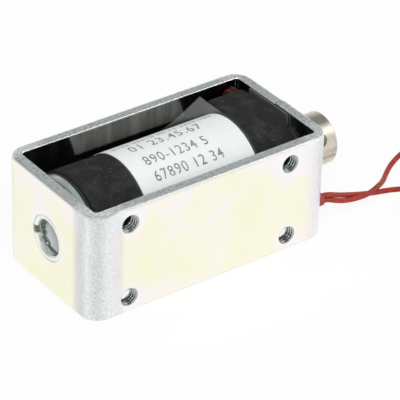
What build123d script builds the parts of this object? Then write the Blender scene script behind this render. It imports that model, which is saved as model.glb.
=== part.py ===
from build123d import *
import math
import os

os.makedirs("parts", exist_ok=True)

# Open box frame, bent from flat steel strip. Lengths are in millimetres.
frame_length = 72.0
frame_width = 38.0
frame_height = 30.0
strip_thickness = 3.0
bend_radius = 5.0
bend_inner_radius = 1.0
outer_rim_round = 1.0
inner_rim_round = 0.3
seam_gap = 0.12
seam_side = 0.3
seam_step = 0.3

# Tapped fixing holes in one long wall
fixing_radius = 2.5
fixing_spacing_along = 48.0
fixing_edge = 4.5
fixing_offset = -1.0

# Plunger, and how far it still is from the fixed core
plunger_radius = 7.0
plunger_reach = 12.8
plunger_pull = 5.0
plunger_edge = 0.5
cross_hole_radius = 2.0
cross_hole_inset = 5.3
cross_hole_tilt = 32.0
nose_radius = 5.2
nose_tip_radius = 3.4
nose_length = 4.6

# Fixed core, riveted into the rear wall
core_length = 18.0
spigot_radius = 6.1
spigot_edge = 0.25
counterbore_radius = 4.75
counterbore_depth = 8.0
counterbore_edge = 0.35
notch_width = 2.2
notch_depth = 1.2
core_collar_radius = 9.0
core_collar_thickness = 0.9
core_washer_thickness = 1.6
core_washer_edge = 0.4

# Push rod and its bush
rod_radius = 2.5
rod_recess = 4.5
rod_edge = 0.6
rod_socket_depth = 9.0
bush_wall = 1.0

# Coil
coil_rim_gap = 0.25
tube_wall = 0.4
tube_stand_out = 0.8
bobbin_wall = 1.0
flange_thickness = 0.9
flange_step = 0.25
wrap_thickness = 0.25
tape_thickness = 0.8
tape_inset = 1.0
label_length = 33.6
label_front_margin = 12.9
label_wrap = 150.0
label_turn = 12.0
label_thickness = 0.1
film_thickness = 0.06
film_overhang = 0.6

# Front end, between the coil and the front wall
flux_washer_thickness = 1.3
flux_washer_lane_gap = 1.35
insulator_thickness = 0.5
insulator_margin = 1.0
insulator_low_side = -5.0
insulator_high_side = 10.5
insulator_top_gap = 0.5
stop_washer_thickness = 0.5

# Leads
lead_radius = 0.7
lead_length = 200.0
lead_pitch = 1.45
lane_gap = 0.3
lane_starts = {"a": (2.0, -0.9), "b": (1.0, -2.1)}
lane_angles = [-118, -88, -56, -22]
turn_gap = 0.15
rise_gap = 0.5
turn_rises = {"a": 4.0, "b": 0.0}
shift_rises = {"a": 4.2, "b": 0.0}
rise_drop = {"a": 2.2, "b": 3.9}
store_radii = {"a": 6.1, "b": 6.8}
store_edge = 0.54
sleeve_radius = 1.75
sleeve_reach = 3.6
sleeve_inset = 4.0
sleeve_height = 5.6
tip_radius = 0.4
tip_length = 5.0
tail_length = 7.0
tail_steps = [(0, 0), (0.3, 0.12), (0.7, 1), (1, 1)]
splice_radius = 0.75
splice_length = 4.0
splice_inset = 5.7
splice_first_inset = 2.8
splice_pitch = 1.5
magnet_wire_radius = 0.18
magnet_wire_reach = 0.8
tie_thickness = 0.3
tie_width = 1.2
tie_angle = 130.0
pad_length = 11.4
pad_top_gap = 0.5
pad_side_room = 2.0
pad_round = 3.5
pad_skin = 0.3
pocket_length = 3.8

# Clearances
running_gap = 0.05
press_gap = 0.02
laying_gap = 0.05

# Main planes. The part stands on the frame's lower rim, with its length along X.
axis_height = frame_height / 2
rear_x = -(frame_length + plunger_reach) / 2
front_x = rear_x + frame_length
frame_mid_x = (rear_x + front_x) / 2
rear_inner_x = rear_x + strip_thickness
front_inner_x = front_x - strip_thickness
inner_half_width = frame_width / 2 - strip_thickness
sleeve_side = sleeve_inset - inner_half_width
fixing_spacing_up = frame_height - 2 * fixing_edge
coil_axis = Axis((0, 0, axis_height), (1, 0, 0))

# Stations along the axis
washer_x = rear_inner_x + core_collar_thickness
washer_front_x = washer_x + core_washer_thickness
insulator_x = front_inner_x - insulator_thickness
flux_washer_x = insulator_x - flux_washer_thickness
core_front_x = rear_inner_x + core_length
shoulder_x = core_front_x + plunger_pull + stop_washer_thickness + 2 * running_gap
plunger_end_x = front_x + plunger_reach
tape_start_x = washer_front_x + tape_inset
tape_end_x = flux_washer_x - press_gap
label_x = tape_end_x - label_front_margin - label_length

# Radii that follow from each other
tube_inner_radius = plunger_radius + running_gap
tube_outer_radius = tube_inner_radius + tube_wall
bobbin_inner_radius = tube_outer_radius + press_gap
bobbin_outer_radius = bobbin_inner_radius + bobbin_wall
coil_radius = min(frame_height / 2, inner_half_width) - coil_rim_gap
flange_radius = coil_radius - flange_step
tape_inner_radius = coil_radius - tape_thickness
wrap_radius = tape_inner_radius - press_gap
wrap_inner_radius = wrap_radius - wrap_thickness
winding_radius = wrap_inner_radius - press_gap
winding_inner_radius = bobbin_outer_radius + press_gap
bush_radius = rod_radius + running_gap + bush_wall
outer_lane = min(axis_height, inner_half_width) - lead_radius - lane_gap
lane_radii = {"a": outer_lane - lead_pitch, "b": outer_lane}
flux_washer_radius = lane_radii["a"] - lead_radius - flux_washer_lane_gap
insulator_radius = flux_washer_radius + insulator_margin


def cross_plane(x, y=0.0, z=axis_height):
    """A plane square to the coil axis, with its X along the part's Y."""
    return Plane(origin=(x, y, z), x_dir=(0, 1, 0), z_dir=(1, 0, 0))


def turned(profile):
    """A solid turned about the coil axis from (x, radius) points."""
    with BuildPart() as solid:
        with BuildSketch(Plane.XZ):
            with BuildLine():
                Polyline([(x, axis_height + r) for x, r in profile], close=True)
            make_face()
        revolve(axis=coil_axis)
    return solid


def ring(x_start, x_end, outer, inner):
    """A plain ring about the coil axis."""
    with BuildPart() as solid:
        with BuildSketch(cross_plane(x_start)):
            Circle(outer)
            Circle(inner, mode=Mode.SUBTRACT)
        extrude(amount=x_end - x_start)
    return solid


def skin(x_start, x_end, inner, thickness, wrap, turn):
    """A thin sheet laid part of the way round the coil, with its middle turned from the top."""
    middle = 90 + turn
    with BuildPart() as solid:
        with BuildSketch(cross_plane(x_start)):
            with BuildLine():
                low = middle - wrap / 2
                inside = CenterArc((0, 0), inner, low, wrap)
                outside = CenterArc((0, 0), inner + thickness, low, wrap)
                Line(inside @ 0, outside @ 0)
                Line(inside @ 1, outside @ 1)
            make_face()
        extrude(amount=x_end - x_start)
    return solid


def corner_radii(points):
    """The largest even radius for each corner of a route: 0.45 of the shorter run."""
    route = [Vector(*p) for p in points]
    radii = []
    for before, corner, after in zip(route, route[1:], route[2:]):
        arriving = corner - before
        leaving = after - corner
        half_turn = math.radians(arriving.get_angle(leaving)) / 2
        radii.append(0.45 * min(arriving.length, leaving.length) / math.tan(half_turn))
    return radii


def wire(points, radius):
    """A round wire along straight runs that are joined by tangent arcs."""
    with BuildPart() as solid:
        with BuildLine() as path:
            FilletPolyline(*points, radius=corner_radii(points))
        line = path.wire()
        with BuildSketch(Plane(origin=line @ 0, z_dir=line % 0)):
            Circle(radius)
        sweep(path=line)
    return solid, line.length


def report_wire(name, points, solid, length, radius):
    """Print a wire's radii, and its volume against section times length."""
    radii = ", ".join(f"{r:.1f}" for r in corner_radii(points))
    expected = math.pi * radius**2 * length
    print(f"{name}: length {length:.1f}, radii {radii}, volume share {solid.part.volume / expected:.4f}")


def crosses_strip(edge):
    """Whether an edge runs across the strip, at the seam."""
    return abs((edge % 0.5).X) > 0.99 and edge.length < 2 * strip_thickness


def is_inside(edge):
    """Whether a rim edge belongs to the frame's inner side."""
    box = edge.bounding_box()
    reach = max(frame_mid_x - box.min.X, box.max.X - frame_mid_x)
    side = max(-box.min.Y, box.max.Y)
    return reach < front_inner_x - frame_mid_x + 2 * seam_step and side < inner_half_width + seam_step


# The frame is one strip. Its two ends meet in the front wall, and one end stands a little proud.
with BuildPart() as frame:
    bend_side = frame_width / 2 - bend_radius
    with BuildSketch():
        with Locations((frame_mid_x, 0)):
            RectangleRounded(frame_length, frame_width, bend_radius)
            inner_length = frame_length - 2 * strip_thickness
            RectangleRounded(inner_length, 2 * inner_half_width, bend_inner_radius, mode=Mode.SUBTRACT)
        Polygon(
            (front_inner_x, -bend_side),
            (front_x, -bend_side),
            (front_x, seam_side + seam_gap),
            (front_inner_x, seam_side + seam_gap),
            align=None,
            mode=Mode.SUBTRACT,
        )
        Polygon(
            (front_inner_x, -bend_side),
            (front_x, -bend_side),
            (front_x + seam_step, seam_side),
            (front_inner_x + seam_step, seam_side),
            align=None,
        )
    extrude(amount=frame_height)
    rims = frame.edges().group_by(Axis.Z)[0] + frame.edges().group_by(Axis.Z)[-1]
    rims = rims.filter_by(lambda e: not crosses_strip(e))
    fillet(rims.filter_by(lambda e: not is_inside(e)), outer_rim_round)
    rims = frame.edges().group_by(Axis.Z)[0] + frame.edges().group_by(Axis.Z)[-1]
    fillet(rims.filter_by(lambda e: is_inside(e) and not crosses_strip(e)), inner_rim_round)
    with Locations(cross_plane(rear_inner_x)):
        Hole(spigot_radius + press_gap, depth=strip_thickness)
    with Locations(cross_plane(front_x + seam_step)):
        Hole(bobbin_inner_radius, depth=strip_thickness + 2 * seam_step)
    with Locations(cross_plane(front_x + seam_step, sleeve_side, sleeve_height)):
        Hole(sleeve_radius + press_gap, depth=strip_thickness + 2 * seam_step)
    fixing_middle = (frame_mid_x + fixing_offset, -frame_width / 2, axis_height)
    with Locations(Plane(origin=fixing_middle, x_dir=(1, 0, 0), z_dir=(0, -1, 0))):
        with GridLocations(fixing_spacing_along, fixing_spacing_up, 2, 2):
            Hole(fixing_radius, depth=strip_thickness)

# The fixed core has a spigot in the rear wall, a counterbore and bush for the rod, and a conical seat.
counterbore_end_x = rear_x + counterbore_depth
seat_slope = (nose_radius - nose_tip_radius) / nose_length
seat_depth = nose_length + stop_washer_thickness
seat_mouth = nose_radius + running_gap + seat_slope * stop_washer_thickness
seat_floor_x = core_front_x - seat_depth
seat_floor = seat_mouth - seat_slope * seat_depth
with BuildPart() as fixed_core:
    with BuildSketch(Plane.XZ):
        with BuildLine():
            core_profile = [
                (rear_x, counterbore_radius + counterbore_edge),
                (rear_x, spigot_radius - spigot_edge),
                (rear_x + spigot_edge, spigot_radius),
                (rear_inner_x, spigot_radius),
                (rear_inner_x, core_collar_radius),
                (washer_x, core_collar_radius),
                (washer_x, plunger_radius),
                (core_front_x, plunger_radius),
                (core_front_x, seat_mouth),
                (seat_floor_x, seat_floor),
                (seat_floor_x, bush_radius + press_gap),
                (counterbore_end_x, bush_radius + press_gap),
                (counterbore_end_x, counterbore_radius),
                (rear_x + counterbore_edge, counterbore_radius),
            ]
            Polyline([(x, axis_height + r) for x, r in core_profile], close=True)
        make_face()
    revolve(axis=coil_axis)
    ring_middle = (counterbore_radius + spigot_radius - spigot_edge) / 2
    ring_width = spigot_radius - spigot_edge - counterbore_radius + counterbore_edge
    with Locations((rear_x + notch_depth / 2, ring_middle, axis_height)):
        Box(notch_depth, ring_width, notch_width, mode=Mode.SUBTRACT)

rod_guide_bush = ring(counterbore_end_x, seat_floor_x, bush_radius, rod_radius + running_gap)

with BuildPart() as core_washer:
    with BuildSketch(cross_plane(washer_x)):
        Circle(flange_radius)
        Circle(plunger_radius + press_gap, mode=Mode.SUBTRACT)
    extrude(amount=core_washer_thickness)
    rear_rim = core_washer.edges().filter_by(GeomType.CIRCLE).group_by(Axis.X)[0].sort_by(SortBy.RADIUS)[-1]
    chamfer(rear_rim, core_washer_edge)

guide_tube = ring(washer_front_x, front_x + tube_stand_out, tube_outer_radius, tube_inner_radius)

bobbin_front_x = flux_washer_x
bobbin = turned(
    [
        (washer_front_x, bobbin_inner_radius),
        (washer_front_x, flange_radius),
        (washer_front_x + flange_thickness, flange_radius),
        (washer_front_x + flange_thickness, bobbin_outer_radius),
        (bobbin_front_x - flange_thickness, bobbin_outer_radius),
        (bobbin_front_x - flange_thickness, flange_radius),
        (bobbin_front_x, flange_radius),
        (bobbin_front_x, bobbin_inner_radius),
    ]
)

winding_x = washer_front_x + flange_thickness + press_gap
winding_end_x = bobbin_front_x - flange_thickness - press_gap
winding = ring(winding_x, winding_end_x, winding_radius, winding_inner_radius)

# Splices lie side by side over the front end of the winding, in a pocket of the tape's thick pad.
# The leads come up between the pad and the far wall.
splice_x = [tape_end_x - splice_first_inset + splice_pitch * n for n in range(2)]
splice_start_side = inner_half_width - splice_inset
splice_end_side = splice_start_side - splice_length
magnet_wire_drop = splice_end_side - magnet_wire_reach
pocket_side = magnet_wire_drop - magnet_wire_radius - laying_gap
pad_low_side = pocket_side - pad_skin
pad_high_side = inner_half_width - pad_side_room
pad_top = frame_height - pad_top_gap
splice_height = pad_top - pad_skin - laying_gap - splice_radius
pocket_floor = splice_height - splice_radius - laying_gap
magnet_wire_foot = axis_height + math.sqrt(winding_radius**2 - magnet_wire_drop**2) + press_gap

with BuildPart() as insulation_wrap:
    with BuildSketch(cross_plane(winding_x)):
        Circle(wrap_radius)
        Circle(wrap_inner_radius, mode=Mode.SUBTRACT)
    extrude(amount=winding_end_x - winding_x)
    with Locations([(x, magnet_wire_drop, splice_height) for x in splice_x]):
        Cylinder(
            magnet_wire_radius + laying_gap,
            splice_height - magnet_wire_foot + wrap_thickness,
            align=(Align.CENTER, Align.CENTER, Align.MAX),
            mode=Mode.SUBTRACT,
        )

with BuildPart() as cloth_tape:
    with BuildSketch(cross_plane(tape_start_x)):
        Circle(coil_radius)
    extrude(amount=tape_end_x - tape_start_x)
    with BuildSketch(cross_plane(tape_end_x - pad_length)) as pad_section:
        with Locations((pad_low_side, 0)):
            Rectangle(pad_high_side - pad_low_side, pad_top - axis_height, align=(Align.MIN, Align.MIN))
        fillet(pad_section.vertices().group_by(Axis.X)[-1].sort_by(Axis.Y)[-1], pad_round)
    extrude(amount=pad_length)
    with BuildSketch(cross_plane(tape_end_x - pad_skin - pocket_length)):
        with Locations((pocket_side, pocket_floor - axis_height)):
            pocket_top = pad_top - pad_skin
            Rectangle(pad_high_side - pocket_side, pocket_top - pocket_floor, align=(Align.MIN, Align.MIN))
    extrude(amount=pocket_length, mode=Mode.SUBTRACT)
    with Locations([(x, magnet_wire_drop, splice_height) for x in splice_x]):
        Cylinder(
            magnet_wire_radius + press_gap,
            splice_height - magnet_wire_foot,
            align=(Align.CENTER, Align.CENTER, Align.MAX),
            mode=Mode.SUBTRACT,
        )
    with Locations(cross_plane(tape_end_x)):
        Hole(tape_inner_radius, depth=tape_end_x - tape_start_x)
        Hole(flange_radius + press_gap, depth=flange_thickness + press_gap)

label = skin(label_x, label_x + label_length, coil_radius, label_thickness, label_wrap, label_turn)
film_start_x = label_x - film_overhang
film_length = label_length + 2 * film_overhang
clear_film = skin(
    film_start_x,
    film_start_x + film_length,
    coil_radius + label_thickness,
    film_thickness,
    label_wrap,
    label_turn,
)

front_flux_washer = ring(flux_washer_x, insulator_x, flux_washer_radius, bobbin_inner_radius)

with BuildPart() as end_insulator:
    with BuildSketch(cross_plane(insulator_x)):
        Circle(insulator_radius)
        with Locations((insulator_low_side, 0)):
            Rectangle(
                insulator_high_side - insulator_low_side,
                frame_height - axis_height - insulator_top_gap,
                align=(Align.MIN, Align.MIN),
            )
        Circle(bobbin_inner_radius, mode=Mode.SUBTRACT)
    extrude(amount=insulator_thickness)

# Moving pieces: the stop washer slides with the plunger, which can also turn in it.
stop_washer_x = shoulder_x - running_gap - stop_washer_thickness
stop_washer = ring(
    stop_washer_x,
    stop_washer_x + stop_washer_thickness,
    plunger_radius - running_gap,
    nose_radius + running_gap,
)

rod_end_x = rear_x + rod_recess
nose_end_x = shoulder_x - nose_length - stop_washer_thickness
socket_end_x = nose_end_x + rod_socket_depth
with BuildPart() as plunger:
    with BuildSketch(Plane.XZ):
        with BuildLine():
            plunger_profile = [
                (nose_end_x, rod_radius + press_gap),
                (nose_end_x, nose_tip_radius),
                (shoulder_x - stop_washer_thickness, nose_radius),
                (shoulder_x, nose_radius),
                (shoulder_x, plunger_radius),
                (plunger_end_x - plunger_edge, plunger_radius),
                (plunger_end_x, plunger_radius - plunger_edge),
                (plunger_end_x, 0),
                (socket_end_x, 0),
                (socket_end_x, rod_radius + press_gap),
            ]
            Polyline([(x, axis_height + r) for x, r in plunger_profile], close=True)
        make_face()
    revolve(axis=coil_axis)
    tilt = math.radians(cross_hole_tilt)
    hole_axis = (0, -math.cos(tilt), math.sin(tilt))
    hole_middle = (plunger_end_x - cross_hole_inset, 0, axis_height)
    with Locations(Plane(origin=hole_middle, x_dir=(1, 0, 0), z_dir=hole_axis)):
        Cylinder(cross_hole_radius, 3 * plunger_radius, mode=Mode.SUBTRACT)

push_rod = turned(
    [
        (rod_end_x, 0),
        (rod_end_x, rod_radius - rod_edge),
        (rod_end_x + rod_edge, rod_radius),
        (socket_end_x - press_gap, rod_radius),
        (socket_end_x - press_gap, 0),
    ]
)

# The sleeve holds both leads where they pass the front wall.
sleeve_end_x = front_x + sleeve_reach
lead_heights = [sleeve_height + lead_pitch / 2, sleeve_height - lead_pitch / 2]
with BuildPart() as lead_sleeve:
    with BuildSketch(cross_plane(front_inner_x, sleeve_side, sleeve_height)):
        Circle(sleeve_radius)
        with Locations([(0, z - sleeve_height) for z in lead_heights]):
            Circle(lead_radius + press_gap, mode=Mode.SUBTRACT)
    extrude(amount=sleeve_end_x - front_inner_x)

# Inside, each lead goes round the coil's front end in its own lane, and comes up beside the coil.
lane_x = flux_washer_x + lead_radius + laying_gap
rise_side = inner_half_width - lead_radius - rise_gap
heights = {"a": lead_heights[0], "b": lead_heights[1]}
splices = {"a": splice_x[1], "b": splice_x[0]}


def inner_route(side):
    """The route of one lead from the sleeve's outer end, round the coil's front end, to its splice."""
    height = heights[side]
    step_side, step_up = lane_starts[side]
    lane = lane_radii[side]
    half_step = math.radians(lane_angles[1] - lane_angles[0]) / 2
    route = [
        (sleeve_end_x, sleeve_side, height),
        (lane_x, sleeve_side, height),
        (lane_x, sleeve_side + step_side, height + step_up),
    ]
    for angle in lane_angles:
        turn = math.radians(angle)
        reach = lane / math.cos(half_step)
        route.append((lane_x, reach * math.cos(turn), axis_height + reach * math.sin(turn)))
    beside = rise_side - lead_radius - turn_gap
    clear_height = axis_height + math.sqrt(max(coil_radius**2 - beside**2, 0))
    route += [
        (lane_x, lane + turn_gap, axis_height + turn_rises[side]),
        (lane_x, rise_side, clear_height + shift_rises[side]),
        (splices[side], rise_side, splice_height - rise_drop[side]),
        (splices[side], rise_side, splice_height),
        (splices[side], splice_start_side, splice_height),
    ]
    return route


# Outside, each lead drops to the surface that the part stands on, in loose curves.
outer_routes = {
    "a": [
        (sleeve_end_x, sleeve_side, lead_heights[0]),
        (35.0, sleeve_side, lead_heights[0]),
        (39.0, -12.1, 4.67),
        (43.6, -11.7, 2.94),
        (48.3, -11.7, 1.5),
        (52.2, -11.9, lead_radius),
        (56.0, -13.0, lead_radius),
        (60.2, -15.0, lead_radius),
        (64.8, -17.4, lead_radius),
    ],
    "b": [
        (sleeve_end_x, sleeve_side, lead_heights[1]),
        (35.0, sleeve_side, lead_heights[1]),
        (38.9, -12.8, 3.25),
        (43.1, -13.1, 2.41),
        (48.0, -13.4, 2.35),
        (52.6, -11.9, 2.4),
        (56.6, -9.3, 1.15),
        (60.2, -6.3, lead_radius),
        (64.3, -3.5, lead_radius),
        (68.9, -1.3, lead_radius),
        (73.9, 0.3, lead_radius),
        (78.9, -0.5, lead_radius),
    ],
}

pieces = {
    "frame": frame,
    "fixed_core": fixed_core,
    "rod_guide_bush": rod_guide_bush,
    "core_washer": core_washer,
    "guide_tube": guide_tube,
    "bobbin": bobbin,
    "winding": winding,
    "insulation_wrap": insulation_wrap,
    "cloth_tape": cloth_tape,
    "label": label,
    "clear_film": clear_film,
    "front_flux_washer": front_flux_washer,
    "end_insulator": end_insulator,
    "stop_washer": stop_washer,
    "plunger": plunger,
    "push_rod": push_rod,
    "lead_sleeve": lead_sleeve,
}

# Each lead's free length beyond its last point is kept in a flat coil of two layers, held by a tie.
lead_width = 2 * lead_radius
tie_window = 2 * lead_width + 2 * laying_gap
for side in heights:
    store_radius = store_radii[side]
    store_outer = store_radius + lead_width
    store_inner = store_radius - lead_width
    route = inner_route(side)
    inner_lead, held_length = wire(route, lead_radius)
    report_wire(f"inner lead {side}", route, inner_lead, held_length, lead_radius)

    with BuildPart() as splice:
        with BuildSketch(Plane(origin=(splices[side], splice_end_side, splice_height), z_dir=(0, 1, 0))):
            Circle(splice_radius)
        extrude(amount=splice_length)

    magnet_route = [
        (splices[side], splice_end_side, splice_height),
        (splices[side], magnet_wire_drop, splice_height),
        (splices[side], magnet_wire_drop, magnet_wire_foot),
    ]
    magnet_wire, _ = wire(magnet_route, magnet_wire_radius)

    outer_lead, outer_length = wire(outer_routes[side], lead_radius)
    report_wire(f"lead {side}", outer_routes[side], outer_lead, outer_length, lead_radius)

    # The coil's centre lies to the right of the lead where it arrives.
    arrival = Vector(*outer_routes[side][-1])
    arriving = arrival - Vector(*outer_routes[side][-2])
    heading = math.atan2(arriving.Y, arriving.X)
    centre = arrival + Vector(math.sin(heading), -math.cos(heading), 0) * (store_radius + lead_radius)
    stored = lead_length - outer_length - tail_length
    turns = stored / (2 * math.pi * store_radius)
    leave = heading + math.pi / 2 - 2 * math.pi * turns
    print(f"lead {side}: {outer_length:.1f} laid out, {stored:.1f} in {turns:.2f} turns about {centre}")
    store_floor = tie_thickness
    with BuildPart() as stored_coil:
        with BuildSketch(Plane(origin=(centre.X, centre.Y, store_floor))):
            Circle(store_outer)
            Circle(store_inner, mode=Mode.SUBTRACT)
        extrude(amount=2 * lead_width)
        fillet(stored_coil.edges(), store_edge)

    # The tail leaves the coil's upper layer along its turn and comes down to lie level on the surface.
    out = Vector(math.cos(leave), math.sin(leave), 0)
    ahead = Vector(out.Y, -out.X, 0)
    tail_height = store_floor + lead_width + lead_radius
    tail_start = Vector(centre.X, centre.Y, tail_height) + out * (store_radius + lead_radius)
    tail_drop = tail_height - lead_radius
    tail_route = [
        tail_start + ahead * (tail_length * along) - Vector(0, 0, tail_drop * down)
        for along, down in tail_steps
    ]
    tail, tail_real = wire([tuple(point) for point in tail_route], lead_radius)
    report_wire(f"tail {side}", tail_route, tail, tail_real, lead_radius)
    with BuildPart() as tip:
        with BuildSketch(Plane(origin=tail_route[-1], z_dir=ahead)):
            Circle(tip_radius)
        extrude(amount=tip_length)

    tie_turn = heading + math.pi / 2 + math.radians(tie_angle)
    across = Vector(math.cos(tie_turn), math.sin(tie_turn), 0)
    along_strands = across.cross(Vector(0, 0, 1))
    tie_plane = Plane(origin=centre + across * store_radius, x_dir=across, z_dir=along_strands)
    with BuildPart() as tie:
        with BuildSketch(tie_plane):
            tie_middle = store_floor + lead_width - centre.Z
            with Locations((0, tie_middle)):
                Rectangle(tie_window + 2 * tie_thickness, 2 * lead_width + 2 * tie_thickness)
                Rectangle(tie_window, 2 * lead_width, mode=Mode.SUBTRACT)
        extrude(amount=tie_width / 2, both=True)

    pieces[f"inner_lead_{side}"] = inner_lead
    pieces[f"splice_{side}"] = splice
    pieces[f"magnet_wire_{side}"] = magnet_wire
    pieces[f"lead_{side}"] = outer_lead
    pieces[f"lead_{side}_coil"] = stored_coil
    pieces[f"lead_{side}_tail"] = tail
    pieces[f"lead_{side}_tip"] = tip
    pieces[f"lead_{side}_tie"] = tie

for name, piece in pieces.items():
    piece.part.label = name
    export_step(piece.part, f"parts/{name}.step")
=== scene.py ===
import math

import bmesh
import bpy
from bpy.props import FloatProperty, FloatVectorProperty, IntProperty, PointerProperty, StringProperty
from bpy.types import Operator, Panel, PropertyGroup
from mathutils import Matrix, Vector


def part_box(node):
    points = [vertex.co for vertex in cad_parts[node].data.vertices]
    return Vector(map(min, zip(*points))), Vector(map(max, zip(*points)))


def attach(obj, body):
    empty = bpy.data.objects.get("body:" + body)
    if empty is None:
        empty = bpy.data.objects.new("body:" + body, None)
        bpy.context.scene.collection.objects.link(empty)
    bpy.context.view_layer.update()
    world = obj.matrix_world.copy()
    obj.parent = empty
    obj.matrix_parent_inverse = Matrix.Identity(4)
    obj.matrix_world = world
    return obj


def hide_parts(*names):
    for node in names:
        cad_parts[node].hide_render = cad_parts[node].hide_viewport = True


bl_info = {
    "name": "Box Frame Solenoid",
    "version": (1, 0, 0),
    "blender": (4, 5, 0),
    "location": "View3D > Sidebar > Solenoid",
    "description": "Finishes a box frame solenoid with its coil wrap, label, film, threads and leads",
    "category": "Object",
}

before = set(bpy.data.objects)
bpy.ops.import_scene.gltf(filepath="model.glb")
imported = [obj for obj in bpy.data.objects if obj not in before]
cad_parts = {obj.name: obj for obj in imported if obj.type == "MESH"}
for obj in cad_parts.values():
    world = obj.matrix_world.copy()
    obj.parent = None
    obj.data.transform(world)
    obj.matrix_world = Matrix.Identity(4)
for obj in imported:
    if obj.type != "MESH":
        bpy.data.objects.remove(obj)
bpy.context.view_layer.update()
MM = 0.001


def span(node, axis):
    """A node's lowest and highest value along one axis."""
    low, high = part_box(node)
    return low[axis], high[axis]


# Places read from the solids
COIL_START, COIL_END = span("cloth_tape", 0)
COIL_SIDE = span("cloth_tape", 1)[1]
AXIS_HEIGHT = sum(span("plunger", 2)) / 2
LABEL_START, LABEL_END = span("label", 0)
FILM_START, FILM_END = span("clear_film", 0)
REAR_FACE, FRONT_FACE = span("frame", 0)
WALL_SIDE = span("frame", 1)[1]
RIM_HEIGHT = span("frame", 2)[1]

# Sizes of the solids that their boxes don't give
STRIP_THICKNESS = 3.0 * MM
FIXING_MIDDLE = -7.4 * MM
FIXING_SPACING_X = 48.0 * MM
FIXING_SPACING_Z = 21.0 * MM
LEAD_RADIUS = 0.7 * MM

# The cloth wrap's lapped edge, and its thick pad over the splices
WRAP_DEPTH = 1.0 * MM
WRAP_EDGE = 0.16 * MM
LAP_PLACE = COIL_START + 9.0 * MM
LAP_WANDER = 1.2 * MM
LAP_SLOPE = 0.12 * MM
LAP_STEP = 0.10 * MM
WAVE_HEIGHT = 0.05 * MM
PAD_TOP = RIM_HEIGHT - 0.62 * MM
PAD_SIDE = 14.0 * MM
PAD_START = COIL_END - 11.6 * MM
PAD_SLOPE = 1.6 * MM
PAD_WANDER = 0.6 * MM
PAD_ROUNDING = 9

# How the sheets lie over one another on the coil
LABEL_LIFT = 0.01 * MM
INK_LIFT = 0.02 * MM
FILM_LIFT = 0.05 * MM
FLAP_CURL = 4.0

# The printing on the label: each row's start, width and the angle of its baseline round the coil
LABEL_ROWS = [
    (-17.0 * MM, 21.4 * MM, math.radians(87.5)),
    (-16.7 * MM, 18.7 * MM, math.radians(109.5)),
    (-16.6 * MM, 20.4 * MM, math.radians(128.0)),
]
SMALL_ROW = (-19.9 * MM, 30.0 * MM, math.radians(71.5))
CAP_HEIGHT = 2.9 * MM
SMALL_CAP_HEIGHT = 1.15 * MM

# The fixing threads, in holes of the major radius
THREAD_MAJOR = 2.49 * MM
THREAD_MINOR = 1.98 * MM
THREAD_PITCH = 0.8 * MM
THREAD_INSET = 0.02 * MM
THREAD_CLEARANCE = 0.01 * MM


class CoilSettings(PropertyGroup):
    """Sizes of the cloth wrap and of what is laid over it."""

    crown: FloatProperty(
        name="Crown", description="How much prouder the cloth wrap stands on the coil's upper side",
        default=0.38 * MM, unit="LENGTH",
    )
    tape_near: FloatProperty(
        name="Label wrap start", description="Angle of the label's near edge round the coil axis",
        default=math.radians(177), subtype="ANGLE",
    )
    tape_far: FloatProperty(
        name="Label wrap end", description="Angle of the label's far edge round the coil axis",
        default=math.radians(27), subtype="ANGLE",
    )
    label_thickness: FloatProperty(
        name="Label thickness", description="Paper and its adhesive", default=0.10 * MM, unit="LENGTH",
    )
    film_thickness: FloatProperty(
        name="Film thickness", description="Clear film over the label", default=0.06 * MM, unit="LENGTH",
    )
    flap_start: FloatProperty(
        name="Flap start", description="Where along the coil the film's far edge begins to lift",
        default=-4.0 * MM, unit="LENGTH",
    )
    flap_fold: FloatProperty(
        name="Flap fold", description="Angle round the coil at which the film leaves it, at its front end",
        default=math.radians(87), subtype="ANGLE",
    )
    film_far: FloatProperty(
        name="Film edge", description="Angle that the film's far edge would reach if it lay flat",
        default=math.radians(41), subtype="ANGLE",
    )
    rows: StringProperty(
        name="Label rows", description="Plain numbers on the label, rows parted by a stroke",
        default="01 23.45.67|890-1234 5|67890 12 34",
    )
    small_row: StringProperty(
        name="Small row", description="Plain numbers in the small row above the others",
        default="0123 45678 90 12 3456 789",
    )


class LeadSettings(PropertyGroup):
    """The two insulated leads."""

    length: FloatProperty(
        name="Lead length", description="Free length of each lead beyond the sleeve",
        default=200 * MM, unit="LENGTH",
    )
    colour: FloatVectorProperty(
        name="Lead colour", description="Insulation", default=(0.29, 0.027, 0.012), subtype="COLOR", size=3,
    )
    turn_points: IntProperty(
        name="Points per turn", description="Control points in each stored turn", default=16, min=12,
    )


class FinishSettings(PropertyGroup):
    """Colours and roughness of the finishes."""

    zinc_roughness: FloatProperty(
        name="Zinc roughness", description="Outer faces of the frame", default=0.34, min=0, max=1,
    )
    inner_roughness: FloatProperty(
        name="Inner roughness", description="Inner faces of the frame", default=0.13, min=0, max=1,
    )
    cloth: FloatVectorProperty(
        name="Cloth colour", description="Woven wrap",
        default=(0.0085, 0.0088, 0.0088), subtype="COLOR", size=3,
    )
    paper: FloatVectorProperty(
        name="Paper colour", description="Label", default=(0.85, 0.885, 0.88), subtype="COLOR", size=3,
    )
    nickel: FloatVectorProperty(
        name="Nickel colour", description="Plunger", default=(0.72, 0.675, 0.57), subtype="COLOR", size=3,
    )


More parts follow.
